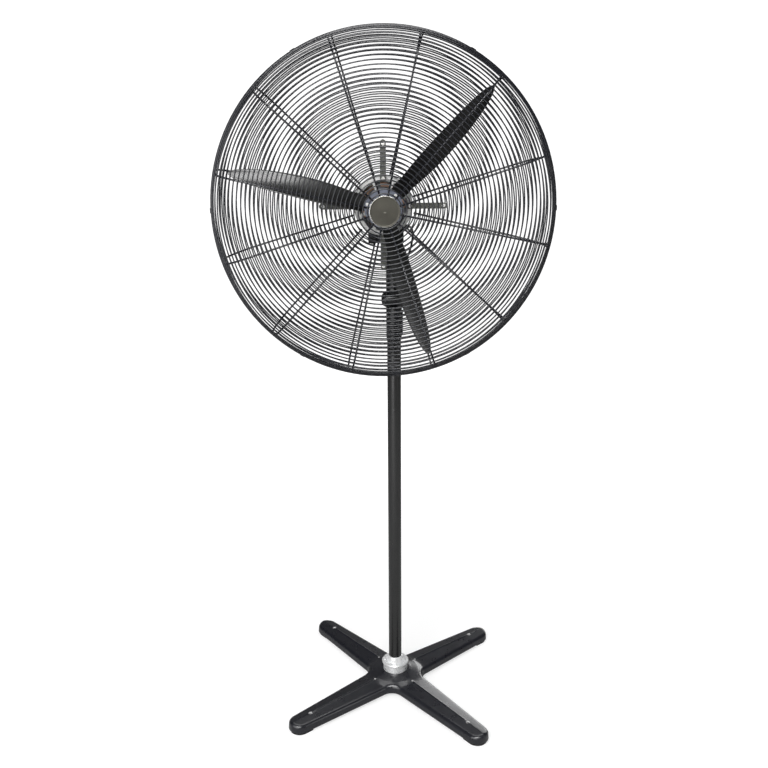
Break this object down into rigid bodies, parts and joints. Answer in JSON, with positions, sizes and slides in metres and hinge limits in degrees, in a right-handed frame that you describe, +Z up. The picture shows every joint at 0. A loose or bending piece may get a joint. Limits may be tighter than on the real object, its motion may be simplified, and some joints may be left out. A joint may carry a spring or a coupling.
{
  "type": "pedestal fan",
  "caption": "Industrial pedestal fan: caged blades on a motor head that tilts and swings, on a round pole with a cross-shaped cast base.",
  "frame": {"origin": "on the floor, on the axis of the pole and of the ring of hold-down holes", "axes": "+Z up along the pole, the fan faces -Y, the pan and tilt joints at zero"},
  "size_m": [0.8064, 0.5884, 1.7713],
  "materials": {
    "base_enamel": "black gloss enamel on a casting",
    "foot_rubber": "matte",
    "polished_casting": "polished casting",
    "bell_casting": "fine-turned casting",
    "charcoal_paint": "satin charcoal powder coat",
    "motor_paint": "satin charcoal paint on a casting",
    "dark_fasteners": "black oxide",
    "bright_fasteners": "zinc plate",
    "black_plastic": "matte moulded",
    "black_rubber": "matte",
    "bronze_bush": "oiled sintered bronze",
    "ground_steel": "ground",
    "plated_steel": "dull zinc plate",
    "laminations": "stacked sheet",
    "copper_wire": "enamelled wire",
    "hub_paint": "satin blue-grey",
    "blade_paint": "semi-gloss charcoal paint",
    "arm_paint": "satin grey",
    "guard_wire": "near-black powder coat",
    "rim_paint": "charcoal powder coat",
    "badge_metal": "satin face, polished edge",
    "dark_steel": "satin",
    "worm_bronze": "machined bronze",
    "gear_plastic": "natural acetal",
    "switch_plastic": "moulded",
    "capacitor_can": "moulded"
  },
  "bodies": {
    "stand": {"base_cross": "base_enamel", "foot_pads": "foot_rubber", "base_collar": "polished_casting", "collar_screws": "dark_fasteners", "pole": "charcoal_paint", "pole_lock_nut": "bright_fasteners", "cord_gland": "black_rubber", "neck_socket": "charcoal_paint", "socket_screws": "dark_fasteners", "tilt_bolt": "dark_fasteners", "tilt_washer": "bright_fasteners"},
    "tilt_knob": {"tilt_knob": "black_plastic"},
    "neck": {"neck_column": "charcoal_paint", "spindle_bushes": "bronze_bush", "thrust_washer": "bright_fasteners", "slotted_arm": "plated_steel", "arm_screw": "dark_fasteners", "lead_gland": "black_rubber"},
    "head": {"pan_spindle": "ground_steel", "motor_cradle": "charcoal_paint", "cradle_screws": "bright_fasteners", "motor_shell": "motor_paint", "front_bell": "bell_casting", "rear_bell": "motor_paint", "stator_core": "laminations", "stator_windings": "copper_wire", "motor_bolts": "bright_fasteners", "bearings": "ground_steel", "motor_gland": "black_rubber", "motor_lead": "black_rubber", "guard_arms": "arm_paint", "guard_arm_screws": "bright_fasteners", "rear_face_rings": "guard_wire", "rear_side_rings": "guard_wire", "rear_spokes": "guard_wire", "front_face_rings": "guard_wire", "front_side_rings": "guard_wire", "front_spokes": "guard_wire", "rim_hoops": "rim_paint", "guard_clips": "rim_paint", "badge": "badge_metal", "badge_plate": "dark_steel", "gearbox_housing": "motor_paint", "gearbox_cover": "motor_paint", "gearbox_screws": "bright_fasteners", "switch_box": "black_plastic", "speed_switch": "switch_plastic", "run_capacitor": "capacitor_can"},
    "rotor": {"rotor_shaft": "ground_steel", "rotor_core": "laminations", "worm": "ground_steel", "blade_hub": "hub_paint", "hub_nut": "bright_fasteners", "fan_blades": "blade_paint", "blade_rivets": "bright_fasteners"},
    "worm_wheel": {"worm_wheel": "worm_bronze"},
    "output_gear": {"output_gear": "gear_plastic"},
    "crank": {"crank": "ground_steel"},
    "clutch_knob": {"clutch_knob": "black_plastic"},
    "speed_knob": {"speed_knob": "black_plastic"}
  },
  "joints": [
    {"name": "tilt_knob_turn", "type": "hinge", "parent": "stand", "child": "tilt_knob", "pos_m": [0, 0, 1.13], "axis": [1, 0, 0], "range_deg": [-180, 180]},
    {"name": "head_tilt", "type": "hinge", "parent": "stand", "child": "neck", "pos_m": [0, 0, 1.13], "axis": [1, 0, 0], "range_deg": [-25, 12]},
    {"name": "head_pan", "type": "hinge", "parent": "neck", "child": "head", "pos_m": [0, 0, 1.262], "axis": [0, 0, 1], "range_deg": [-38, 38]},
    {"name": "rotor_spin", "type": "hinge", "parent": "head", "child": "rotor", "pos_m": [-0.027, 0, 1.369], "axis": [0, 1, 0], "continuous": true},
    {"name": "worm_wheel_spin", "type": "hinge", "parent": "head", "child": "worm_wheel", "pos_m": [0, 0.096, 1.369], "axis": [0, 0, 1], "continuous": true},
    {"name": "output_gear_spin", "type": "hinge", "parent": "head", "child": "output_gear", "pos_m": [0, 0.066, 1.346], "axis": [0, 0, 1], "continuous": true},
    {"name": "crank_turn", "type": "hinge", "parent": "head", "child": "crank", "pos_m": [0, 0.066, 1.262], "axis": [0, 0, 1], "range_deg": [-100, 100]},
    {"name": "clutch_slide", "type": "slide", "parent": "crank", "child": "clutch_knob", "axis": [0, 0, 1], "range_m": [-0.006, 0]},
    {"name": "speed_knob_turn", "type": "hinge", "parent": "head", "child": "speed_knob", "pos_m": [-0.027, 0.172, 1.362], "axis": [0, 1, 0], "range_deg": [0, 135]}
  ],
  "couplings": [
    {"joint": "worm_wheel_spin", "follows": "rotor_spin", "ratio": 0.033333},
    {"joint": "output_gear_spin", "follows": "rotor_spin", "ratio": -0.011111},
    {"joint": "crank_turn", "follows": "head_pan", "ratio": -2.63}
  ]
}
